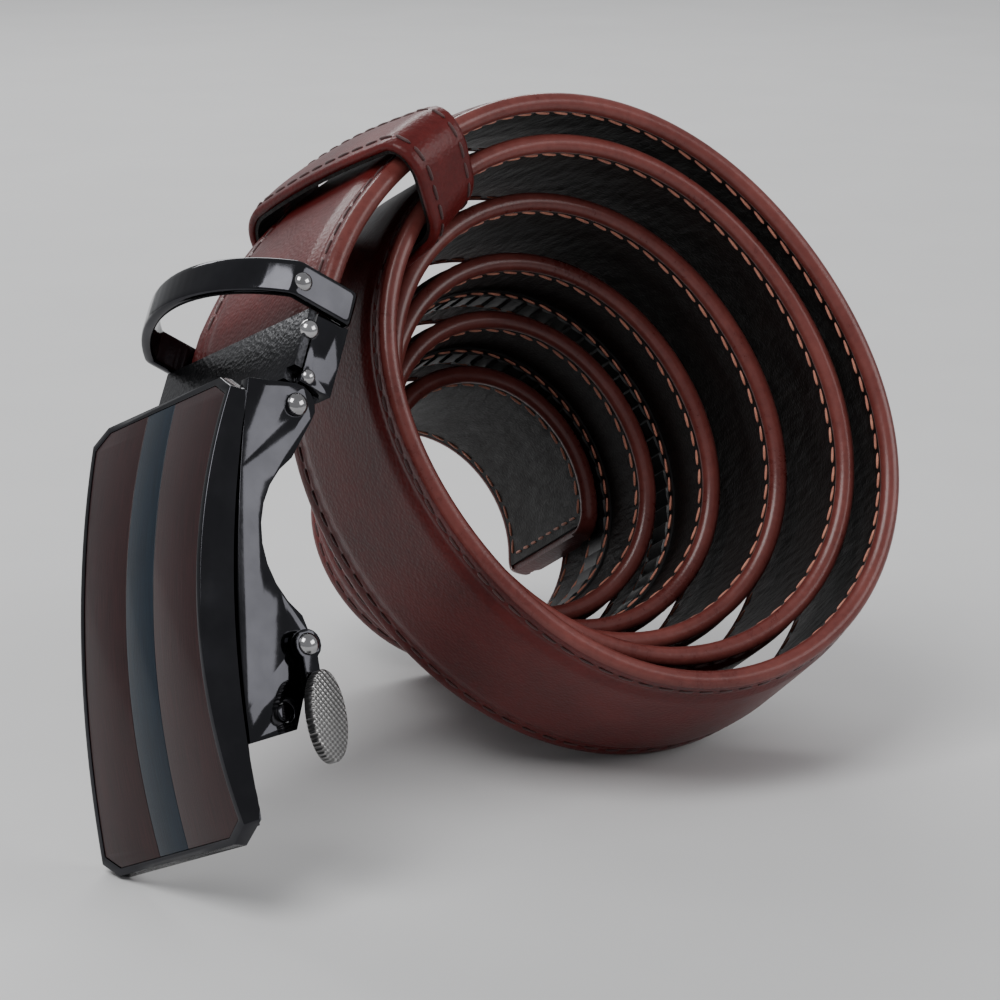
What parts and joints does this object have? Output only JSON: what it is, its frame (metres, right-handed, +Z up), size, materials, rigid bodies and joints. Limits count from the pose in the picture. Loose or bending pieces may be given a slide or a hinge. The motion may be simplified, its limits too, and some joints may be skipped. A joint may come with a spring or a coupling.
{
  "type": "leather belt",
  "caption": "Leather dress belt rolled up on edge, with a hinged ratchet buckle, strap clamp, metal tail loop and leather keeper.",
  "frame": {"origin": "on the surface that the belt stands on, under the middle of its bounding box", "axes": "+Z up; the mouth of the coil faces -Y and the buckle hangs at the -X side; +X is to the right as seen from the mouth"},
  "size_m": [0.1392, 0.1336, 0.1058],
  "materials": {
    "oxblood_leather": "semi-gloss maroon leather with fine grain",
    "black_lining": "matt black wrinkled lining leather",
    "filler": "matt fibre board",
    "black_plastic": "moulded black plastic",
    "gunmetal": "polished dark gunmetal plating",
    "satin_gunmetal": "satin textured gunmetal plating",
    "steel": "plain bright steel",
    "maroon_enamel": "dark maroon lacquer with a fine grain",
    "navy_enamel": "dark navy lacquer with a fine grain"
  },
  "bodies": {
    "strap": {"strap_upper": "oxblood_leather", "strap_filler": "filler", "strap_lining": "black_lining", "ratchet_track": "black_plastic", "clamp_body": "satin_gunmetal", "jaw_pin": "steel", "clamp_screw_front": "steel", "clamp_screw_back": "steel", "tail_loop": "gunmetal"},
    "buckle": {"face_frame": "gunmetal", "inlay_front": "maroon_enamel", "inlay_stripe": "navy_enamel", "inlay_back": "maroon_enamel", "base_plate": "gunmetal", "ear_front": "gunmetal", "ear_back": "gunmetal", "hinge_pin": "steel", "guide_bar": "gunmetal", "pawl_spring": "steel"},
    "jaw": {"clamp_jaw": "satin_gunmetal"},
    "release": {"pawl": "steel", "pawl_shaft": "steel", "release_arm": "gunmetal", "release_tab": "satin_gunmetal"},
    "keeper": {"keeper_loop": "oxblood_leather", "keeper_lining": "black_lining"}
  },
  "joints": [
    {"name": "buckle_hinge", "type": "hinge", "parent": "strap", "child": "buckle", "pos_m": [-0.04449, -0.02109, 0.0598], "axis": [0.2624, -0.8789, 0.3984], "range_deg": [-19, 20]},
    {"name": "jaw_hinge", "type": "hinge", "parent": "strap", "child": "jaw", "pos_m": [-0.04175, -0.01875, 0.06316], "axis": [0.2624, -0.8789, 0.3984], "range_deg": [0, 28]},
    {"name": "pawl_hinge", "type": "hinge", "parent": "buckle", "child": "release", "pos_m": [-0.05062, -0.03699, 0.02876], "axis": [0.2624, -0.8789, 0.3984], "range_deg": [-25, 0], "stiffness_Nm_per_rad": 0.01, "springref_deg": 20.05},
    {"name": "keeper_turn", "type": "hinge", "parent": "strap", "child": "keeper", "pos_m": [0.01573, -0.01311, 0.06628], "axis": [0, 0.8924, -0.4513], "range_deg": [-3, 3]}
  ]
}
